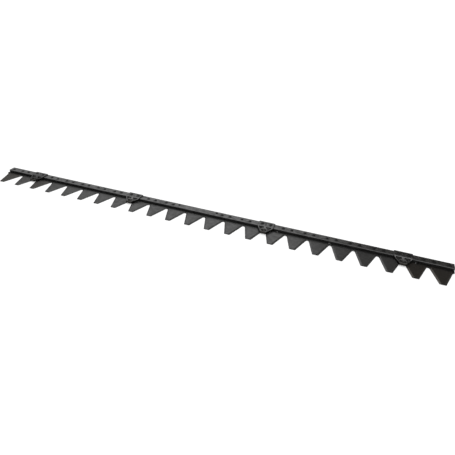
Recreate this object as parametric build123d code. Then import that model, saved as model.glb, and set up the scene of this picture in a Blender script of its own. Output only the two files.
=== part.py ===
from build123d import *
import math
import os

# Complete mower knife: a row of trapezoid sections riveted under a flat knife back,
# with four guide sockets straddling the back bar. Lengths are in millimetres.
# X runs along the knife, Y from the tips to the back, and Z is up from the shear face.

# Row of sections
section_count = 23
pitch = 70.0
side_gap = 0.2

# One section
section_thickness = 3.0
tooth_length = 69.0
tip_width = 18.0
notch_line_width = 65.1
notch_radius = 5.0
bevel_width = 4.5
edge_thickness = 0.8
section_back_inset = 1.5

# Knife back
bar_width = 25.0
bar_height = 8.0
bar_setback = 7.0
bar_chamfer = 0.8

# Solid rivets through bar and section, flush below and with a low head on top.
# They and their holes are prisms of a few sides, so that so many of them stay light.
rivet_half_spacing = 21.0
rivet_sides = 10
rivet_radius = 3.0
rivet_fit = 0.1
rivet_head_radius = 4.6
rivet_head_height = 1.6
rivet_crown_radius = 3.4

# Two bolt holes of the drive head, midway along the knife
drive_hole_spacing = 140.0
drive_hole_radius = 4.5
drive_hole_setback = 15.8

# Guide sockets, each over the joint that follows the section named here
guide_joints = (2, 8, 15, 21)
guide_width = 54.0
guide_pad_thickness = 3.0
guide_pad_corner = 1.5
guide_floor = 5.0
guide_rib = 3.2
guide_centre_rib = 7.0
guide_slope_length = 8.0
nose_width = 22.0
nose_corner = 3.5
nose_reach = 32.0
nose_chamfer = 3.0
boss_radius = 12.0
boss_height = 8.0
boss_reach = 19.5
cup_mouth_radius = 8.5
cup_seat_radius = 4.8
cup_depth = 6.0

# Heights and depths that follow from the sizes above
overall_depth = tooth_length + bar_setback + bar_width
tip_y = -overall_depth / 2
notch_y = tip_y + tooth_length
bar_front_y = notch_y + bar_setback
bar_back_y = bar_front_y + bar_width
rivet_y = (bar_front_y + bar_back_y) / 2
section_back_y = bar_back_y - section_back_inset
drive_hole_y = bar_front_y + drive_hole_setback
bar_top_z = section_thickness + bar_height
pad_top_z = bar_top_z + guide_pad_thickness
knife_length = section_count * pitch
nose_y = bar_front_y - nose_reach
boss_y = bar_front_y - boss_reach
boss_top_z = section_thickness + boss_height


def section_x(number):
    """Centre of a section, counted from 1 at the left end."""
    return (number - (section_count + 1) / 2) * pitch


def joint_x(number):
    """Line where section `number` meets the next one."""
    return section_x(number) + pitch / 2


def rivet_rows():
    """X of every rivet in three rows: standing on the bar, flush with it, and on a guide."""
    plain, guide = [], []
    for number in range(1, section_count + 1):
        left = section_x(number) - rivet_half_spacing
        right = section_x(number) + rivet_half_spacing
        (guide if number - 1 in guide_joints else plain).append(left)
        (guide if number in guide_joints else plain).append(right)
    flush = [x for x in plain if abs(x) < drive_hole_spacing / 2]
    standing = [x for x in plain if x not in flush]
    return standing, flush, guide


def cutting_angle():
    """Angle between a cutting edge and the section's centre line."""
    return math.atan((notch_line_width - tip_width) / 2 / tooth_length)


def notch_points():
    """Ends of the round notch bottom: on the cutting edge, and on the section's side."""
    angle = cutting_angle()
    start_x = pitch / 2 - notch_radius * math.cos(angle)
    start_y = notch_y + (start_x - notch_line_width / 2) / math.tan(angle)
    centre_y = start_y - notch_radius * math.sin(angle)
    end_x = (pitch - side_gap) / 2
    end_y = centre_y + math.sqrt(notch_radius**2 - (side_gap / 2) ** 2)
    return (start_x, start_y), (end_x, end_y)


def section_outline():
    """Plan of one section, centred on X."""
    angle = cutting_angle()
    notch_start, notch_end = notch_points()
    side_x = notch_end[0]
    half = Curve() + [
        Line((0, tip_y), (tip_width / 2, tip_y)),
        Line((tip_width / 2, tip_y), notch_start),
        TangentArc(notch_start, notch_end, tangent=(math.sin(angle), math.cos(angle))),
        Line(notch_end, (side_x, section_back_y)),
        Line((side_x, section_back_y), (0, section_back_y)),
    ]
    return make_face(half + mirror(half, Plane.YZ))


def bevel_cut():
    """Wedge ground off the top along the right cutting edge, ending in a slanted run-out."""
    angle = cutting_angle()
    along = Vector(math.sin(angle), math.cos(angle), 0)
    outward = Vector(math.cos(angle), -math.sin(angle), 0)
    overrun = bevel_width
    slope = (section_thickness - edge_thickness) / bevel_width
    start = Vector(tip_width / 2, tip_y, 0) - along * overrun
    across = Plane(origin=start, x_dir=outward, z_dir=-along)
    profile = Polyline(
        (-bevel_width, section_thickness),
        (overrun, edge_thickness - slope * overrun),
        (overrun, section_thickness),
        close=True,
    )
    edge_length = tooth_length / math.cos(angle)
    wedge = extrude(across * make_face(profile), -(edge_length + 2 * overrun))
    run_out = Plane(origin=notch_points()[0], z_dir=along + outward)
    return split(wedge, bisect_by=run_out, keep=Keep.BOTTOM)


def prism(x, radius, z_from, z_to, end_radius=None):
    """Upright prism on the rivet line, narrowing or widening to end_radius where that is given."""
    height = z_to - z_from
    inset = radius - (end_radius or radius)
    flat_share = math.cos(math.pi / rivet_sides)
    taper = math.degrees(math.atan(inset * flat_share / height))
    return Pos(x, rivet_y, z_from) * extrude(
        RegularPolygon(radius, rivet_sides), height, taper=taper
    )


def rivet_hole(x, z_from, z_to):
    """Tool for one rivet hole."""
    return prism(x, rivet_radius + rivet_fit, z_from, z_to)


def head_seat(x):
    """Tool for the countersink of a flush rivet in the bar."""
    return prism(
        x,
        rivet_radius + rivet_fit,
        bar_top_z - rivet_head_height,
        bar_top_z,
        rivet_head_radius + rivet_fit,
    )


def drive_holes():
    """Tools for the two bolt holes of the drive head, through section and bar."""
    bottom = (Align.CENTER, Align.CENTER, Align.MIN)
    tool = Cylinder(drive_hole_radius, bar_top_z, align=bottom)
    half = drive_hole_spacing / 2
    return [Pos(x, drive_hole_y, 0) * tool for x in (-half, half)]


def section(number):
    """One cutting section, lying under the bar with its bevels up."""
    blank = extrude(section_outline(), section_thickness)
    cut = bevel_cut()
    blank = blank - cut - mirror(cut, Plane.YZ)
    for x in (-rivet_half_spacing, rivet_half_spacing):
        blank = blank - rivet_hole(x, 0, section_thickness)
    blank = Pos(section_x(number), 0, 0) * blank
    if abs(section_x(number)) < drive_hole_spacing / 2 + pitch / 2:
        blank = blank - drive_holes()
    return blank


def knife_back():
    """Flat bar that carries every section and guide."""
    bar = Pos(0, rivet_y, section_thickness) * Box(
        knife_length, bar_width, bar_height, align=(Align.CENTER, Align.CENTER, Align.MIN)
    )
    long_top_edges = bar.faces().sort_by(Axis.Z)[-1].edges().filter_by(Axis.X)
    bar = chamfer(long_top_edges, bar_chamfer)
    plain, flush, guide = rivet_rows()
    holes = [rivet_hole(x, section_thickness, bar_top_z) for x in plain + flush + guide]
    holes += [head_seat(x) for x in flush]
    return bar - holes - drive_holes()


def rivet(x, grip):
    """Solid rivet with a low head standing on the surface at height `grip`."""
    shank = prism(x, rivet_radius, 0, grip)
    head = prism(x, rivet_head_radius, grip, grip + rivet_head_height, rivet_crown_radius)
    return shank + head


def flush_rivet(x):
    """Solid rivet whose upper head is sunk into the bar, under the drive head."""
    neck_z = bar_top_z - rivet_head_height
    return prism(x, rivet_radius, 0, neck_z) + prism(
        x, rivet_radius, neck_z, bar_top_z, rivet_head_radius
    )


def guide_plan():
    """Plan of a guide: the pad on the bar, narrowing in front to the blunt nose."""
    pad = Pos(0, rivet_y) * Rectangle(guide_width, bar_width)
    back_corners = pad.vertices().group_by(Axis.Y)[-1]
    pad = chamfer(back_corners, guide_pad_corner)
    return pad + lug_plan()


def lug_plan():
    """Hull of the pad's front edge and the two rounded corners of the nose."""
    front = Line((-guide_width / 2, bar_front_y), (guide_width / 2, bar_front_y))
    corner_x = nose_width / 2 - nose_corner
    corner_y = nose_y + nose_corner
    left = Pos(-corner_x, corner_y) * CenterArc((0, 0), nose_corner, 0, 360)
    right = Pos(corner_x, corner_y) * CenterArc((0, 0), nose_corner, 0, 360)
    return make_hull([front, left.edge(), right.edge()])


def guide_side():
    """Side view of a guide: over the bar, down its front face and out to the nose."""
    return make_face(
        Polyline(
            (bar_back_y, bar_top_z),
            (bar_back_y, pad_top_z),
            (bar_front_y, pad_top_z),
            (bar_front_y - guide_slope_length, boss_top_z),
            (nose_y + nose_chamfer, boss_top_z),
            (nose_y, boss_top_z - nose_chamfer),
            (nose_y, section_thickness),
            (bar_front_y, section_thickness),
            (bar_front_y, bar_top_z),
            close=True,
        )
    )


def guide_pockets():
    """The two hollows between the outer ribs, the centre rib, the boss and the bar wall."""
    wall_y = bar_front_y - guide_rib
    inner = offset(lug_plan(), -guide_rib, kind=Kind.INTERSECTION)
    boss = Pos(0, boss_y) * Circle(boss_radius)
    nose = Pos(0, boss_y) * Rectangle(guide_width, 2 * boss_radius, align=(Align.CENTER, Align.MAX))
    spine = Pos(0, boss_y) * Rectangle(guide_centre_rib, guide_width)
    wall = Pos(0, wall_y) * Rectangle(guide_width, guide_width, align=(Align.CENTER, Align.MIN))
    hollow = inner - boss - nose - spine - wall
    floor_z = section_thickness + guide_floor
    return Pos(0, 0, floor_z) * extrude(hollow, pad_top_z - floor_z)


def guide(joint):
    """Forged guide with a conical ball seat, resting on the bar and on two sections."""
    block = extrude(guide_plan(), pad_top_z)
    side = extrude(Plane.YZ * guide_side(), guide_width, both=True)
    body = block & side
    top = (Align.CENTER, Align.CENTER, Align.MAX)
    cup = Cone(cup_seat_radius, cup_mouth_radius, cup_depth, align=top)
    body = body - Pos(0, boss_y, boss_top_z) * cup - guide_pockets()
    spread = pitch / 2 - rivet_half_spacing
    for x in (-spread, spread):
        body = body - rivet_hole(x, bar_top_z, pad_top_z)
    return Pos(joint_x(joint), 0, 0) * body


def write(name, shape):
    """One STEP file for each named piece."""
    export_step(shape, os.path.join("parts", name + ".step"))


def main():
    os.makedirs("parts", exist_ok=True)
    plain, flush, guide_rivets = rivet_rows()
    write("knife_back", knife_back())
    for number in range(1, section_count + 1):
        write(f"section_{number:02d}", section(number))
    for index, joint in enumerate(guide_joints, start=1):
        write(f"guide_{index}", guide(joint))
    write("section_rivets", Compound(children=[rivet(x, bar_top_z) for x in plain]))
    write("flush_rivets", Compound(children=[flush_rivet(x) for x in flush]))
    write("guide_rivets", Compound(children=[rivet(x, pad_top_z) for x in guide_rivets]))


main()
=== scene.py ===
import math
import bmesh
import bpy
from mathutils import Matrix, Vector


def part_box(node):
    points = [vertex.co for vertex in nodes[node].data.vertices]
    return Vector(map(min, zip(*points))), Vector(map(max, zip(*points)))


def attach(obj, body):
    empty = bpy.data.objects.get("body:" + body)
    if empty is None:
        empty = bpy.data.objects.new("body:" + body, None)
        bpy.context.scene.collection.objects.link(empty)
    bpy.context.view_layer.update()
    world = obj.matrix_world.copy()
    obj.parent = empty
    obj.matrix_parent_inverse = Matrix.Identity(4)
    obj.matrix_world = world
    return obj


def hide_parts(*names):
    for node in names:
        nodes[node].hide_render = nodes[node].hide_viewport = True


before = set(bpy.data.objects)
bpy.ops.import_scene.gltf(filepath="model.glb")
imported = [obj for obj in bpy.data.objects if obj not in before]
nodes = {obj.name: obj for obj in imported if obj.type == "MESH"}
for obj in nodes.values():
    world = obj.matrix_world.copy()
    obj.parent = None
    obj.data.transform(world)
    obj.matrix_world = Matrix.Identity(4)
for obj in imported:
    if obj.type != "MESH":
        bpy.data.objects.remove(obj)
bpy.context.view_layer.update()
mm = 0.001
print("frame loaded,", len(nodes), "nodes")


class Wire:
    # one output of a node, so that sums on it are written as sums
    def __init__(self, tree, socket):
        self.tree = tree
        self.socket = socket

    def math(self, operation, *values):
        sockets = dict(zip(("Value", "Value_001", "Value_002"), values))
        return self.tree.add("ShaderNodeMath", {"operation": operation}, sockets)["Value"]

    def __add__(self, other):
        return self.math("ADD", self, other)

    def __radd__(self, other):
        return self.math("ADD", other, self)

    def __sub__(self, other):
        return self.math("SUBTRACT", self, other)

    def __rsub__(self, other):
        return self.math("SUBTRACT", other, self)

    def __mul__(self, other):
        return self.math("MULTIPLY", self, other)

    def __rmul__(self, other):
        return self.math("MULTIPLY", other, self)

    def __truediv__(self, other):
        return self.math("DIVIDE", self, other)

    def __pow__(self, other):
        return self.math("POWER", self, other)

    def call(self, operation, *others):
        return self.math(operation, self, *others)

    def ramp(self, low, high):
        # 0 below low, 1 above high, smooth between them
        return self.tree.add("ShaderNodeMapRange", {"interpolation_type": "SMOOTHSTEP"},
                             {"Value": self, "From Min": low, "From Max": high})["Result"]

    def swing(self, amount):
        # a noise of 0 to 1 as a swing about zero
        return (self - 0.5) * amount


class Tree:
    # adds nodes to a material, a world or a Geometry Nodes tree
    def __init__(self, nodeTree):
        self.nodeTree = nodeTree
        nodeTree.nodes.clear()

    def pick(self, sockets, key):
        # identifiers come first, because a Mix node has several sockets of one name
        named = [s for s in sockets if s.identifier == key] or [s for s in sockets if s.name == key]
        return named[0]

    def add(self, kind, settings=None, values=None):
        node = self.nodeTree.nodes.new(kind)
        for name, setting in (settings or {}).items():
            setattr(node, name, setting)
        for key, value in (values or {}).items():
            socket = self.pick(node.inputs, key)
            for one in value if isinstance(value, list) else [value]:
                if isinstance(one, Wire):
                    self.nodeTree.links.new(one.socket, socket)
                else:
                    socket.default_value = one
        return Outputs(self, node)

    def noise(self, point, size, detail=2.0, roughness=0.5):
        # from 0 to 1, with features of about the given size in metres
        return self.add("ShaderNodeTexNoise", None, {
            "Vector": point, "Scale": 1 / size, "Detail": detail, "Roughness": roughness})["Fac"]

    def stretch(self, point, scale):
        return self.add("ShaderNodeMapping", None, {"Vector": point, "Scale": scale})["Vector"]

    def blend(self, factor, first, second):
        return self.add("ShaderNodeMix", {"data_type": "RGBA"}, {
            "Factor_Float": factor, "A_Color": first, "B_Color": second})["Result_Color"]

    def bump(self, height, depth, under=None):
        values = {"Height": height, "Distance": depth, "Strength": 1.0}
        if under:
            values["Normal"] = under
        return self.add("ShaderNodeBump", None, values)["Normal"]


class Outputs:
    # the outputs of a new node, looked up by identifier or name
    def __init__(self, tree, node):
        self.tree = tree
        self.node = node

    def __getitem__(self, key):
        return Wire(self.tree, self.tree.pick(self.node.outputs, key))


def grey(level, warmth=0.0):
    # a linear colour, a little redder where warmth is above 0
    return (level * (1 + warmth), level, level * (1 - warmth), 1)


def newMaterial(name):
    material = bpy.data.materials.new(name)
    material.use_nodes = True
    tree = Tree(material.node_tree)
    point = tree.add("ShaderNodeTexCoord")["Object"]
    return material, tree, point


def closeMaterial(tree, finish, colour, roughness, normal):
    # the tint is what a metal keeps of its shine at low angles
    surface = tree.add("ShaderNodeBsdfPrincipled", None, {
        "Base Color": colour, "Metallic": finish["metallic"], "Specular Tint": finish["tint"],
        "Roughness": roughness, "Normal": normal})
    tree.add("ShaderNodeOutputMaterial", None, {"Surface": surface["BSDF"]})


def axes(tree, vector):
    parts = tree.add("ShaderNodeSeparateXYZ", None, {"Vector": vector})
    return parts["X"], parts["Y"], parts["Z"]


def uprightness(tree):
    # 1 on faces that look up or down, 0 on faces that stand
    normal = tree.add("ShaderNodeNewGeometry")["True Normal"]
    return axes(tree, normal)[2].call("ABSOLUTE")


def distance(aside, back):
    return (aside * aside + back * back).call("SQRT")


# The row of sections and the bar, measured on the frame
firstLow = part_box("section_01")[0]
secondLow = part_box("section_02")[0]
pitch = secondLow.x - firstLow.x
barLow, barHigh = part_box("knife_back")
barMidY = (barLow.y + barHigh.y) / 2
barHalfWidth = (barHigh.y - barLow.y) / 2


bladeFinish = {
    "flat": grey(0.15),
    "dark": grey(0.107),
    # standing faces: darker sheared edges, darkened further as painted shade
    "sheared": grey(0.026),
    "brown": grey(0.085, 0.10),
    # how brown a section is, by its place counted from the middle one
    "brownSections": {-11: 0.5, -10: 0.15, -9: 0.45, 10: 0.9, 11: 0.8},
    "ownShade": 0.3,
    "specks": 0.3,
    # the bevels darker than the flat: painted shade that evens out their brighter reflection
    "ground": grey(0.105),
    "groundShare": 0.7,
    "grindLines": 0.3,
    "edge": grey(0.2),
    "edgeShare": 0.6,
    "edgeWidth": 0.7 * mm,
    # painted glints, small bright spots just in front of the bar
    "bare": grey(0.9),
    "bareShare": 0.8,
    "nicks": (0.2858, 0.4504, 0.7014),
    "nickSetback": 2.2 * mm,
    "nickCore": 0.96 * mm,
    "nickRadius": 3.2 * mm,
    "nickWander": 3 * mm,
    # painted shade along the front of the bar, where its shadow and dark reflection fall
    "grime": grey(0.02),
    "grimeShare": 0.76,
    "grimeShareLeft": 0.97,
    "grimeWidth": 13 * mm,
    "grimeWidthLeft": 20 * mm,
    "grimeWander": 6 * mm,
    "leftReach": (-0.75, -0.15),
    "metallic": 0.9,
    "tint": grey(0.15),
    "roughness": 0.40,
    "roughnessSwing": 0.12,
    "bevelRoughness": 0.1,
    "relief": 0.05 * mm,
    "speckRelief": 0.6,
    # the cutting edges, as the CAD has them
    "toothLength": 69 * mm,
    "tipWidth": 18 * mm,
    "notchLineWidth": 65.1 * mm,
    # a bevel is more upright than the first pair and less than the second
    "bevelAbove": (0.5, 0.8),
    "bevelBelow": (0.94, 0.98),
    "standing": (0.3, 0.7),
    "blotchSize": 14 * mm,
    "blotchFade": (0.3, 0.7),
    "speckSize": 1.6 * mm,
    "speckFade": (0.45, 0.8),
    "edgeFade": (0.3, 0.6),
    "rolledSize": 1.2 * mm,
    "rolledStretch": (1, 0.12, 1),
    "grindSpacing": 0.35 * mm,
    "grindStretch": 0.05,
    "grindFade": (0.5, 0.8),
}


def bladeSteel(finish):
    material, tree, point = newMaterial("bladeSteel")
    x, y = axes(tree, point)[:2]
    number = (x / pitch).call("ROUND")
    across = (x - number * pitch).call("ABSOLUTE") - finish["tipWidth"] / 2
    along = y - firstLow.y
    angle = math.atan((finish["notchLineWidth"] - finish["tipWidth"]) / 2 / finish["toothLength"])
    inside = along * math.sin(angle) - across * math.cos(angle)
    edgeway = along * math.cos(angle) + across * math.sin(angle)
    upright = uprightness(tree)
    bevel = upright.ramp(*finish["bevelAbove"]) * (1 - upright.ramp(*finish["bevelBelow"]))
    stands = 1 - upright.ramp(*finish["standing"])

    own = tree.add("ShaderNodeTexWhiteNoise", {"noise_dimensions": "1D"}, {"W": number})["Value"]
    # COMPARE is 1 where the number lies within a half of the place
    brown = sum(number.call("COMPARE", place, 0.5) * amount
                for place, amount in finish["brownSections"].items())
    blotch = tree.noise(point, finish["blotchSize"], detail=3, roughness=0.6)
    specks = tree.noise(point, finish["speckSize"], roughness=0.6)
    rolled = tree.noise(tree.stretch(point, finish["rolledStretch"]), finish["rolledSize"])
    stroke = tree.add("ShaderNodeCombineXYZ", None, {
        "X": edgeway, "Y": inside * finish["grindStretch"], "Z": number})["Vector"]
    grind = tree.noise(stroke, finish["grindSpacing"])

    body = tree.blend(blotch.ramp(*finish["blotchFade"]), finish["flat"], finish["dark"])
    darker = own * finish["ownShade"] + specks.ramp(*finish["speckFade"]) * finish["specks"]
    body = tree.blend(darker, body, finish["dark"])
    # painted shade on the bevels, against their brighter reflection
    body = tree.blend(bevel * finish["groundShare"], body, finish["ground"])
    body = tree.blend(brown, body, finish["brown"])
    edge = (1 - inside.ramp(0.0, finish["edgeWidth"])) * specks.ramp(*finish["edgeFade"])
    body = tree.blend(edge * bevel * finish["edgeShare"], body, finish["edge"])
    lines = bevel * grind.ramp(*finish["grindFade"]) * finish["grindLines"]
    body = tree.blend(lines, body, finish["dark"])

    # painted shade on the sections in front of the bar, where the bar's shadow and dark reflection
    # fall, wider and darker towards the left end
    left = 1 - x.ramp(*finish["leftReach"])
    width = left * (finish["grimeWidthLeft"] - finish["grimeWidth"]) + finish["grimeWidth"]
    share = left * (finish["grimeShareLeft"] - finish["grimeShare"]) + finish["grimeShare"]
    grime = 1 - (barLow.y - y + blotch.swing(finish["grimeWander"])).ramp(0.0, width)
    body = tree.blend(grime * share, body, finish["grime"])

    # painted glints: small bright spots on the sections just in front of the bar
    glintBack = y - barLow.y + finish["nickSetback"]
    for place in finish["nicks"]:
        away = distance(x - place, glintBack) + specks.swing(finish["nickWander"])
        glint = 1 - away.ramp(finish["nickCore"], finish["nickRadius"])
        body = tree.blend(glint * finish["bareShare"], body, finish["bare"])
    # the standing faces darker: partly the sheared edges, partly painted shade where they face away
    # from the light
    body = tree.blend(stands, body, finish["sheared"])

    uneven = specks.swing(finish["roughnessSwing"]) + blotch.swing(finish["roughnessSwing"])
    roughness = finish["roughness"] + uneven + bevel * finish["bevelRoughness"]
    height = rolled * (1 - bevel) + specks * finish["speckRelief"]
    surface = tree.bump(height, finish["relief"])
    surface = tree.bump(grind * bevel, finish["relief"], surface)
    closeMaterial(tree, finish, body, roughness, surface)
    return material


# dirt and painted shade round the rivet heads
rivetDirtAndShade = {
    "halfSpacing": 21 * mm,
    "forward": 3.0 * mm,
    "inner": 4.8 * mm,
    "outer": 8.5 * mm,
    "share": 0.55,
    "bareHalfLength": 70 * mm,
}


def dirtAndShadeRound(tree, point, ring):
    # dirt and painted shade round each rivet on the bar's line, set forward where the head's front side
    # falls in shade; none in the plain stretch at mid-length
    x, y = axes(tree, point)[:2]
    number = (x / pitch).call("ROUND")
    aside = (x - number * pitch).call("ABSOLUTE") - ring["halfSpacing"]
    near = 1 - distance(aside, y - barMidY + ring["forward"]).ramp(ring["inner"], ring["outer"])
    riveted = x.call("ABSOLUTE").call("GREATER_THAN", ring["bareHalfLength"])
    return near * riveted * ring["share"]


barFinish = {
    "flat": grey(0.175),
    "dark": grey(0.09),
    # scale also carries painted shade on the standing faces and round the rivets
    "scale": grey(0.05),
    "worn": grey(0.2),
    "wornFrom": 0.4 * mm,
    "wornWidth": 0.9 * mm,
    "wornShare": 0.5,
    "streakShare": 0.35,
    "metallic": 0.9,
    "tint": grey(0.4),
    "roughness": 0.40,
    "blotchSwing": 0.2,
    "grainSwing": 0.1,
    "relief": 0.08 * mm,
    "grainRelief": 0.6,
    "standing": (0.3, 0.65),
    "blotchSize": 9 * mm,
    "blotchStretch": (0.5, 1, 1),
    "blotchFade": (0.35, 0.68),
    "wornFade": (0.35, 0.6),
    "streakSize": 1.1 * mm,
    "streakStretch": (0.03, 1, 1),
    "streakFade": (0.55, 0.8),
    "grainSize": 0.9 * mm,
}


def barSteel(finish):
    material, tree, point = newMaterial("barSteel")
    y = axes(tree, point)[1]
    streak = tree.noise(tree.stretch(point, finish["streakStretch"]), finish["streakSize"],
                        detail=3, roughness=0.6)
    blotch = tree.noise(tree.stretch(point, finish["blotchStretch"]), finish["blotchSize"],
                        detail=4, roughness=0.62)
    grain = tree.noise(point, finish["grainSize"], roughness=0.6)

    fromEdge = barHalfWidth - (y - barMidY).call("ABSOLUTE")
    worn = 1 - fromEdge.ramp(finish["wornFrom"], finish["wornWidth"])
    worn = worn * blotch.ramp(*finish["wornFade"])
    stands = 1 - uprightness(tree).ramp(*finish["standing"])
    body = tree.blend(blotch.ramp(*finish["blotchFade"]), finish["flat"], finish["dark"])
    streaks = streak.ramp(*finish["streakFade"]) * finish["streakShare"]
    body = tree.blend(streaks, body, finish["worn"])
    body = tree.blend(worn * finish["wornShare"], body, finish["worn"])
    body = tree.blend(dirtAndShadeRound(tree, point, rivetDirtAndShade), body, finish["scale"])
    # the standing faces darker: mill scale, and painted shade where they face away from the light
    body = tree.blend(stands, body, finish["scale"])

    uneven = blotch.swing(finish["blotchSwing"]) + grain.swing(finish["grainSwing"])
    roughness = finish["roughness"] + uneven
    height = streak * finish["grainRelief"] + grain * finish["grainRelief"] + blotch
    closeMaterial(tree, finish, body, roughness, tree.bump(height, finish["relief"]))
    return material


forgingFinish = {
    "flat": grey(0.16),
    "dark": grey(0.065),
    "rubbed": grey(0.18),
    # scale also carries painted shade on the standing faces and round the rivets
    "scale": grey(0.02),
    # rust is painted shade in the pockets and the cup
    "rust": (0.028, 0.024, 0.018, 1),
    "noseShare": 0.7,
    "noseShade": 0.9,
    "pocketShade": 0.25,
    "scaleShare": 0.8,
    "oilShare": 0.5,
    "metallic": 0.9,
    "tint": grey(0.4),
    "roughness": 0.40,
    "grainSwing": 0.2,
    "relief": 0.12 * mm,
    "grainRelief": 0.7,
    # heights between which the pockets end, the ribs begin and end, and the pad begins
    "pocketEnd": (9.4 * mm, 10.6 * mm),
    "ribStart": (10.4 * mm, 10.9 * mm),
    "ribEnd": (13.2 * mm, 13.8 * mm),
    "padStart": (13 * mm, 14 * mm),
    "cupReach": 19.5 * mm,
    "cupRadius": 8.5 * mm,
    "oilReach": (-0.6, -0.3),
    "oilBorder": 1 * mm,
    "standing": (0.25, 0.7),
    "blotchSize": 6 * mm,
    "blotchFade": (0.38, 0.62),
    "rubbedFade": (0.2, 0.5),
    "grainSize": 0.8 * mm,
}


def forgedSteel(finish):
    material, tree, point = newMaterial("forgedSteel")
    x, y, z = axes(tree, point)
    blotch = tree.noise(point, finish["blotchSize"], detail=4, roughness=0.6)
    grain = tree.noise(point, finish["grainSize"], detail=3, roughness=0.65)
    stands = 1 - uprightness(tree).ramp(*finish["standing"])
    low = 1 - z.ramp(*finish["pocketEnd"])
    raised = z.ramp(*finish["ribStart"]) * (1 - z.ramp(*finish["ribEnd"]))
    nose = 1 - (y - barLow.y + finish["cupReach"]).ramp(0.0, finish["cupRadius"])
    # darker on the lugs in front of the bar, towards the left end
    border = finish["oilBorder"]
    front = 1 - y.ramp(barLow.y - border, barLow.y + border)
    leftLugDark = (1 - x.ramp(*finish["oilReach"])) * front

    body = tree.blend(blotch.ramp(*finish["blotchFade"]), finish["flat"], finish["dark"])
    body = tree.blend(raised * blotch.ramp(*finish["rubbedFade"]), body, finish["rubbed"])
    # painted shade in the cup at the nose
    body = tree.blend(nose * finish["noseShare"], body, finish["dark"])
    body = tree.blend(leftLugDark * finish["oilShare"], body, finish["scale"])
    # dirt and painted shade round the guide rivets on the pad
    padDirtAndShade = dirtAndShadeRound(tree, point, rivetDirtAndShade) * z.ramp(*finish["padStart"])
    body = tree.blend(padDirtAndShade, body, finish["scale"])
    # painted shade in the pockets, deepest in the cup
    noseExtra = finish["noseShade"] - finish["pocketShade"]
    body = tree.blend(low * (nose * noseExtra + finish["pocketShade"]), body, finish["rust"])
    # the standing faces darker: forging scale, and painted shade where they face away from the light
    body = tree.blend(stands * finish["scaleShare"], body, finish["scale"])

    roughness = finish["roughness"] + grain.swing(finish["grainSwing"])
    surface = tree.bump(grain * finish["grainRelief"] + blotch, finish["relief"])
    closeMaterial(tree, finish, body, roughness, surface)
    return material


rivetFinish = {
    "top": grey(0.035),
    "rubbed": grey(0.09),
    "rubbedShare": 0.5,
    "rim": grey(0.012),
    "metallic": 0.9,
    "tint": grey(0.4),
    "roughness": 0.40,
    "dentSwing": 0.25,
    "relief": 0.2 * mm,
    "standing": (0.45, 0.9),
    "dentSize": 1.4 * mm,
    "dentFade": (0.5, 0.75),
}


def rivetSteel(finish):
    material, tree, point = newMaterial("rivetSteel")
    dents = tree.noise(point, finish["dentSize"])
    stands = 1 - uprightness(tree).ramp(*finish["standing"])
    rubbed = dents.ramp(*finish["dentFade"]) * finish["rubbedShare"]
    body = tree.blend(rubbed, finish["top"], finish["rubbed"])
    # the dome's steep sides darker: painted shade
    body = tree.blend(stands, body, finish["rim"])
    roughness = finish["roughness"] + dents.swing(finish["dentSwing"])
    closeMaterial(tree, finish, body, roughness, tree.bump(dents, finish["relief"]))
    return material


def dress(node, material):
    mesh = node.data
    mesh.materials.clear()
    mesh.materials.append(material)


bladeMaterial = bladeSteel(bladeFinish)
barMaterial = barSteel(barFinish)
forgedMaterial = forgedSteel(forgingFinish)
rivetMaterial = rivetSteel(rivetFinish)
for name, node in nodes.items():
    if name.startswith("section_") and name != "section_rivets":
        dress(node, bladeMaterial)
dress(nodes["knife_back"], barMaterial)
dress(nodes["flush_rivets"], barMaterial)
print("steel finishes made")


rivetShape = {
    "headRadius": 4.6 * mm,
    "headHeight": 1.6 * mm,
    "shankRadius": 3.0 * mm,
    "shankLift": 0.05 * mm,
    "squareness": 0.7,  # 1 is a round dome, less is flatter on top
    "segments": 28,
    "rings": 14,
    "unevenness": 0.05,
    "seed": 7,
    "leastGap": 5 * mm,
}


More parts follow.
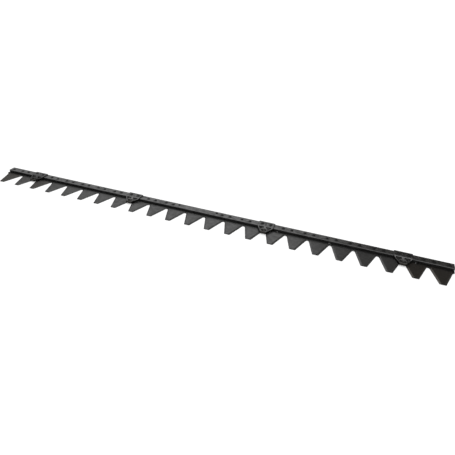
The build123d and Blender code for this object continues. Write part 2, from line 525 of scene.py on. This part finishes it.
def rivetTree(shape, material):
    group = bpy.data.node_groups.new("rivetRow", "GeometryNodeTree")
    kinds = {
        "Head Radius": "NodeSocketFloat", "Head Height": "NodeSocketFloat",
        "Shank Radius": "NodeSocketFloat", "Grip": "NodeSocketFloat",
        "Segments": "NodeSocketInt", "Rings": "NodeSocketInt",
        "Unevenness": "NodeSocketFloat", "Seed": "NodeSocketInt",
    }
    group.interface.new_socket("Points", in_out="INPUT", socket_type="NodeSocketGeometry")
    for name, kind in kinds.items():
        group.interface.new_socket(name, in_out="INPUT", socket_type=kind)
    group.interface.new_socket("Rivets", in_out="OUTPUT", socket_type="NodeSocketGeometry")
    tree = Tree(group)
    inputs = tree.add("NodeGroupInput")

    # the head is a ball of radius 1, drawn out to a low dome whose lower half is flat
    ball = tree.add("GeometryNodeMeshUVSphere", None, {
        "Segments": inputs["Segments"], "Rings": inputs["Rings"], "Radius": 1.0})["Mesh"]
    x, y, z = axes(tree, tree.add("GeometryNodeInputPosition")["Position"])
    level = z.call("MAXIMUM", 0.0)
    nearPole = 0.0001
    outward = (1 - z * z).call("MAXIMUM", nearPole) ** (shape["squareness"] / 2 - 0.5)
    spread = outward * inputs["Head Radius"]
    placed = tree.add("ShaderNodeCombineXYZ", None, {
        "X": x * spread, "Y": y * spread,
        "Z": inputs["Grip"] + inputs["Head Height"] * level ** shape["squareness"]})["Vector"]
    head = tree.add("GeometryNodeSetPosition", None, {"Geometry": ball, "Position": placed})["Geometry"]

    bar = tree.add("GeometryNodeMeshCylinder", None, {
        "Vertices": inputs["Segments"], "Radius": inputs["Shank Radius"],
        "Depth": inputs["Grip"]})["Mesh"]
    lift = tree.add("ShaderNodeCombineXYZ", None, {
        "Z": inputs["Grip"] * 0.5 + shape["shankLift"]})["Vector"]
    shank = tree.add("GeometryNodeTransform", None, {"Geometry": bar, "Translation": lift})["Geometry"]
    rivet = tree.add("GeometryNodeJoinGeometry", None, {"Geometry": [head, shank]})["Geometry"]

    smallest = 1 - inputs["Unevenness"]
    size = tree.add("FunctionNodeRandomValue", {"data_type": "FLOAT"}, {
        "Min_001": smallest, "Max_001": 1.0, "Seed": inputs["Seed"]})["Value_001"]
    scale = tree.add("ShaderNodeCombineXYZ", None, {"X": size, "Y": size, "Z": 1.0})["Vector"]
    row = tree.add("GeometryNodeInstanceOnPoints", None, {
        "Points": inputs["Points"], "Instance": rivet, "Scale": scale})["Instances"]
    solid = tree.add("GeometryNodeRealizeInstances", None, {"Geometry": row})["Geometry"]
    smooth = tree.add("GeometryNodeSetShadeSmooth", None, {"Geometry": solid})["Geometry"]
    done = tree.add("GeometryNodeSetMaterial", None, {
        "Geometry": smooth, "Material": material})["Geometry"]
    tree.add("NodeGroupOutput", None, {"Rivets": done})
    return group


def rivetPlaces(node, leastGap):
    # the centre of each rivet, from the gaps between the node's corners along x
    low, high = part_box(node)
    midY = (low.y + high.y) / 2
    corners = sorted((v.co.copy() for v in nodes[node].data.vertices), key=lambda c: c.x)
    groups = [[corners[0]]]
    for corner in corners[1:]:
        if corner.x - groups[-1][-1].x > leastGap:
            groups.append([])
        groups[-1].append(corner)
    return [Vector(((g[0].x + g[-1].x) / 2, midY, 0)) for g in groups]


def evaluated(built):
    # the modifiers' result as a plain mesh, with the modifiers gone
    graph = bpy.context.evaluated_depsgraph_get()
    mesh = bpy.data.meshes.new_from_object(built.evaluated_get(graph))
    built.modifiers.clear()
    built.data = mesh


def addObject(name, mesh):
    made = bpy.data.objects.new(name, mesh)
    bpy.context.scene.collection.objects.link(made)
    return made


def rivetRow(name, node, tree, shape):
    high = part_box(node)[1]
    points = bpy.data.meshes.new(name)
    points.from_pydata(rivetPlaces(node, shape["leastGap"]), [], [])
    row = addObject(name, points)
    modifier = row.modifiers.new("rivets", "NODES")
    modifier.node_group = tree
    sizes = {
        "Head Radius": shape["headRadius"], "Head Height": shape["headHeight"],
        "Shank Radius": shape["shankRadius"], "Grip": high.z - shape["headHeight"],
        "Segments": shape["segments"], "Rings": shape["rings"],
        "Unevenness": shape["unevenness"], "Seed": shape["seed"],
    }
    for item in tree.interface.items_tree:
        if item.name in sizes:
            modifier[item.identifier] = sizes[item.name]
    evaluated(row)
    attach(row, "root")
    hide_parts(node)


headTree = rivetTree(rivetShape, rivetMaterial)
rivetRow("sectionRivets", "section_rivets", headTree, rivetShape)
rivetRow("guideRivets", "guide_rivets", headTree, rivetShape)
print("rivet rows made")


forgingShape = {
    "voxel": 0.6 * mm,
    "smoothing": 0.5,
    "passes": 5,
    "mergeWithin": 0.001 * mm,
}


def forgedGuide(shape, material):
    # the frame's own guide, with the soft edges of a forging
    bm = bmesh.new()
    bm.from_mesh(nodes["guide_1"].data)
    bmesh.ops.remove_doubles(bm, verts=bm.verts, dist=shape["mergeWithin"])
    mesh = bpy.data.meshes.new("guideForging")
    bm.to_mesh(mesh)
    bm.free()
    mesh.materials.append(material)
    guide = addObject("guideForging", mesh)
    remesh = guide.modifiers.new("remesh", "REMESH")
    remesh.mode = "VOXEL"
    remesh.voxel_size = shape["voxel"]
    remesh.use_smooth_shade = True
    soften = guide.modifiers.new("soften", "SMOOTH")
    soften.factor = shape["smoothing"]
    soften.iterations = shape["passes"]
    evaluated(guide)
    mesh = guide.data
    bpy.data.objects.remove(guide)
    return mesh


forging = forgedGuide(forgingShape, forgedMaterial)
guideNames = sorted(name for name in nodes if name.startswith("guide_") and name != "guide_rivets")
for number, name in enumerate(guideNames, start=1):
    mesh = forging.copy()
    mesh.transform(Matrix.Translation(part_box(name)[0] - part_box("guide_1")[0]))
    guide = addObject(f"guideForging{number}", mesh)
    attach(guide, "root")
    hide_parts(name)
print("guides made,", len(forging.polygons), "faces each")


floorLook = {
    "size": 80.0,
    "drop": 0.1 * mm,
    "colour": grey(0.8),
    "glow": 0.32,
}


def makeFloor(look):
    # the glow is what the camera and reflections see on top of the lit floor
    material = bpy.data.materials.new("paleFloor")
    material.use_nodes = True
    tree = Tree(material.node_tree)
    path = tree.add("ShaderNodeLightPath")
    seen = path["Is Camera Ray"].call("MAXIMUM", path["Is Glossy Ray"])
    seen = seen.call("MAXIMUM", path["Is Transmission Ray"])
    matt = tree.add("ShaderNodeBsdfDiffuse", None, {"Color": look["colour"]})["BSDF"]
    glow = tree.add("ShaderNodeEmission", None, {"Strength": seen * look["glow"]})["Emission"]
    lit = tree.add("ShaderNodeAddShader", None, {"Shader": matt, "Shader_001": glow})["Shader"]
    tree.add("ShaderNodeOutputMaterial", None, {"Surface": lit})
    half = look["size"] / 2
    level = -look["drop"]
    corners = [(-half, -half, level), (half, -half, level), (half, half, level), (-half, half, level)]
    mesh = bpy.data.meshes.new("floor")
    mesh.from_pydata(corners, [], [(0, 1, 2, 3)])
    mesh.materials.append(material)
    addObject("floor", mesh)


softbox = {
    "place": (-1.72, 3.10, 2.06),
    "aim": (0.0, 0.0, 0.0),
    "width": 5.6,
    "height": 2.8,
    "watts": 12.0,
}


def addSoftbox(name, box):
    light = bpy.data.lights.new(name, "AREA")
    light.shape = "RECTANGLE"
    light.size = box["width"]
    light.size_y = box["height"]
    light.energy = box["watts"]
    lamp = bpy.data.objects.new(name, light)
    lamp.location = box["place"]
    aim = Vector(box["aim"]) - lamp.location
    lamp.rotation_euler = aim.to_track_quat("-Z", "Y").to_euler()
    lamp.visible_camera = False
    bpy.context.scene.collection.objects.link(lamp)


darkCard = {
    "left": 0.25,
    "right": 7.0,
    "behind": 2.4,
    "bottom": 0.05,
    "top": 6.0,
    "colour": (0.040, 0.032, 0.018, 1),
}


def addCard(card):
    # a studio flag behind the knife's right end, which shows in its reflections and nowhere else
    material = bpy.data.materials.new("blackCard")
    material.use_nodes = True
    tree = Tree(material.node_tree)
    matt = tree.add("ShaderNodeBsdfDiffuse", None, {"Color": card["colour"]})["BSDF"]
    tree.add("ShaderNodeOutputMaterial", None, {"Surface": matt})
    mesh = bpy.data.meshes.new("darkCard")
    left, right, behind = card["left"], card["right"], card["behind"]
    bottom, top = card["bottom"], card["top"]
    corners = [
        (left, behind, bottom), (right, behind, bottom), (right, behind, top), (left, behind, top)]
    mesh.from_pydata(corners, [], [(0, 1, 2, 3)])
    mesh.materials.append(material)
    flag = addObject("darkCard", mesh)
    flag.visible_camera = False
    flag.visible_diffuse = False
    flag.visible_shadow = False
    flag.visible_transmission = False


surroundings = {
    "colour": grey(1.0),
    "level": 1.0,
}


def makeWorld(look):
    world = bpy.data.worlds.new("studio")
    world.use_nodes = True
    tree = Tree(world.node_tree)
    sky = tree.add("ShaderNodeBackground", None, {"Color": look["colour"], "Strength": look["level"]})
    tree.add("ShaderNodeOutputWorld", None, {"Surface": sky["Background"]})
    bpy.context.scene.world = world


cameraView = {
    "place": (0.48506, -1.04558, 0.69653),
    "azimuth": 19.037,
    "elevation": 32.500,
    "roll": 2.418,
    "lens": 31.588,
    "sensor": 36.0,
    "reach": 200,
}


def makeCamera(view):
    data = bpy.data.cameras.new("photoCamera")
    data.sensor_width = view["sensor"]
    data.lens = view["lens"]
    data.clip_end = view["reach"]
    camera = bpy.data.objects.new("photoCamera", data)
    turn = Matrix.Rotation(math.radians(view["azimuth"]), 4, "Z")
    tip = Matrix.Rotation(math.radians(90 - view["elevation"]), 4, "X")
    roll = Matrix.Rotation(math.radians(view["roll"]), 4, "Z")
    camera.matrix_world = Matrix.Translation(view["place"]) @ turn @ tip @ roll
    bpy.context.scene.collection.objects.link(camera)
    bpy.context.scene.camera = camera


makeFloor(floorLook)
addSoftbox("keySoftbox", softbox)
addCard(darkCard)
makeWorld(surroundings)
makeCamera(cameraView)
bpy.context.scene.view_settings.view_transform = "Standard"
print("studio made")
